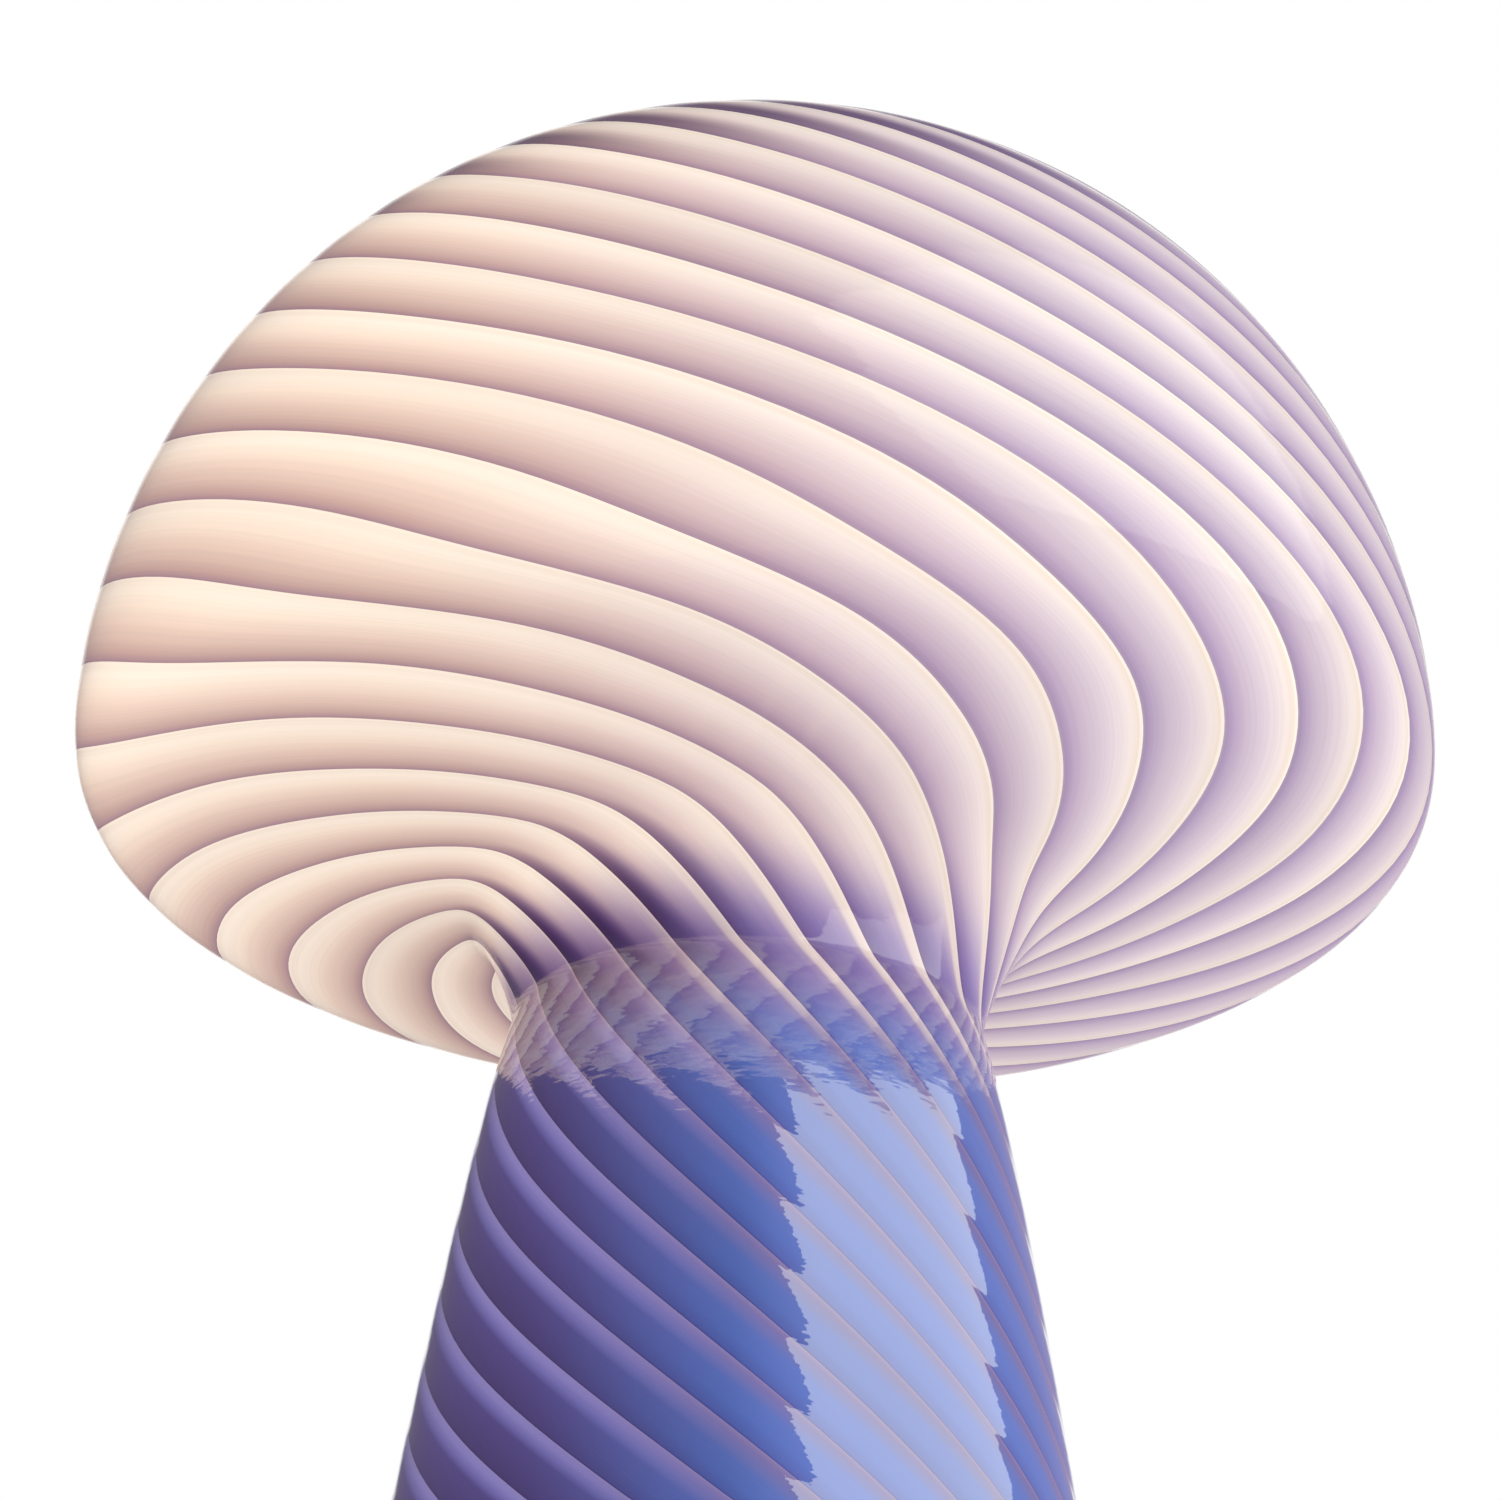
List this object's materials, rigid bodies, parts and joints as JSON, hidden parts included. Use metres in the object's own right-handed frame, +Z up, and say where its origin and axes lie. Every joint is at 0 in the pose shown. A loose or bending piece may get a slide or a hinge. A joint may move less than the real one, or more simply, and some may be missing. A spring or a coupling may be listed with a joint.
{
  "type": "mushroom table lamp",
  "caption": "Table lamp of one blown glass piece, domed cap, pinched neck and flared stem with a swirl of ribs, standing on a steel pan that carries a screw-in bulb on a riser.",
  "frame": {"origin": "on the table, under the middle of the lamp", "axes": "+Z up along the lamp's axis, +Y towards the back where the cord leaves, +X to the right seen from the front"},
  "size_m": [0.2405, 0.2406, 0.2999],
  "materials": {
    "swirl_glass": "gloss",
    "silicone": "satin",
    "base_paint": "satin",
    "dark_rubber": "matte",
    "zinc_steel": "satin",
    "satin_nickel": "satin",
    "holder_plastic": "satin",
    "ceramic": "gloss",
    "brass": "satin",
    "solder": "satin",
    "black_glass": "gloss",
    "bulb_nickel": "gloss",
    "bulb_glass": "gloss",
    "filament": "satin"
  },
  "bodies": {
    "base": {"base_pan": "base_paint", "foot_ring": "silicone", "cord_bush": "dark_rubber", "bottom_plate": "base_paint", "plate_standoffs": "zinc_steel", "plate_screws": "zinc_steel", "rubber_feet": "dark_rubber", "tube_collar": "satin_nickel", "spacer_tube": "satin_nickel", "threaded_rod": "zinc_steel", "lock_washer": "zinc_steel", "rod_nut": "zinc_steel", "holder_cap": "holder_plastic", "holder_insert": "ceramic", "terminal_screws": "brass", "centre_contact": "brass", "screw_sleeve": "brass", "holder_shell": "holder_plastic"},
    "glass": {"glass_body": "swirl_glass"},
    "bulb_tip": {"bulb_tip": "solder"},
    "bulb": {"bulb_insulator": "black_glass", "bulb_cap": "bulb_nickel", "bulb_globe": "bulb_glass", "bulb_mount": "bulb_glass", "bulb_leads": "bulb_nickel", "bulb_filaments": "filament"}
  },
  "joints": [
    {"name": "glass_lift", "type": "slide", "parent": "base", "child": "glass", "axis": [0, 0, 1], "range_m": [0, 0.175]},
    {"name": "bulb_rise", "type": "slide", "parent": "base", "child": "bulb_tip", "axis": [0, 0, 1], "range_m": [0, 0.0092]},
    {"name": "bulb_turn", "type": "hinge", "parent": "bulb_tip", "child": "bulb", "pos_m": [0, 0, 0.13], "axis": [0, 0, 1], "range_deg": [0, 1170]}
  ],
  "couplings": [
    {"joint": "bulb_rise", "follows": "bulb_turn", "m_per_rad": 0.00044563}
  ]
}
